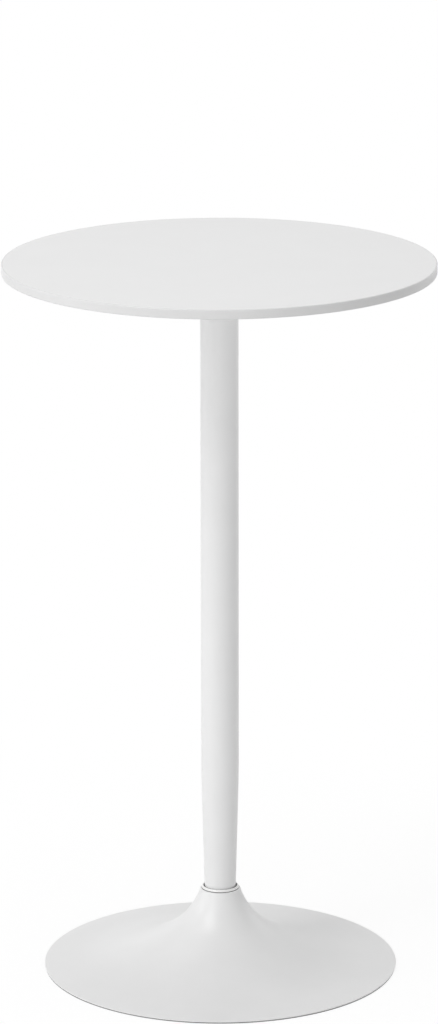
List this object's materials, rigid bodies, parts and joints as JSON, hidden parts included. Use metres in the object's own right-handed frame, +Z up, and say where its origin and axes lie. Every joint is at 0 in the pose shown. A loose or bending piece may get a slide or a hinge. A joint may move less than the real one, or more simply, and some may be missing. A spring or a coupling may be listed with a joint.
{
  "type": "bar table",
  "caption": "Round white bar-height pedestal table: thin round top, straight column tapered at its foot, trim collar and a wide trumpet base.",
  "frame": {"origin": "centre of the base, on the floor", "axes": "+Z up along the column's axis; the table is round, so +X and +Y are any two level directions at right angles"},
  "size_m": [0.5999, 0.6, 1.0196],
  "materials": {
    "melamine_white": "matte",
    "edge_plastic": "matte",
    "fibreboard": "matte",
    "powder_white": "satin",
    "ring_plastic": "satin",
    "seal_rubber": "matte",
    "floor_rubber": "matte",
    "iron": "matte",
    "zinc_steel": "satin",
    "bare_steel": "satin",
    "insert_brass": "satin"
  },
  "bodies": {
    "root": {"tabletop_core": "fibreboard", "top_laminate": "melamine_white", "backing_laminate": "melamine_white", "edge_band": "edge_plastic", "threaded_inserts": "insert_brass", "mounting_plate": "powder_white", "plate_washers": "zinc_steel", "plate_screws": "zinc_steel", "top_spigot": "bare_steel", "column_tube": "powder_white", "tie_rod": "zinc_steel", "trim_ring": "ring_plastic", "ring_seal": "seal_rubber", "base_shell": "powder_white", "neck_spigot": "bare_steel", "counterweight": "iron", "base_washer": "zinc_steel", "spring_washer": "bare_steel", "rod_nut": "zinc_steel", "floor_ring": "floor_rubber"}
  },
  "joints": []
}
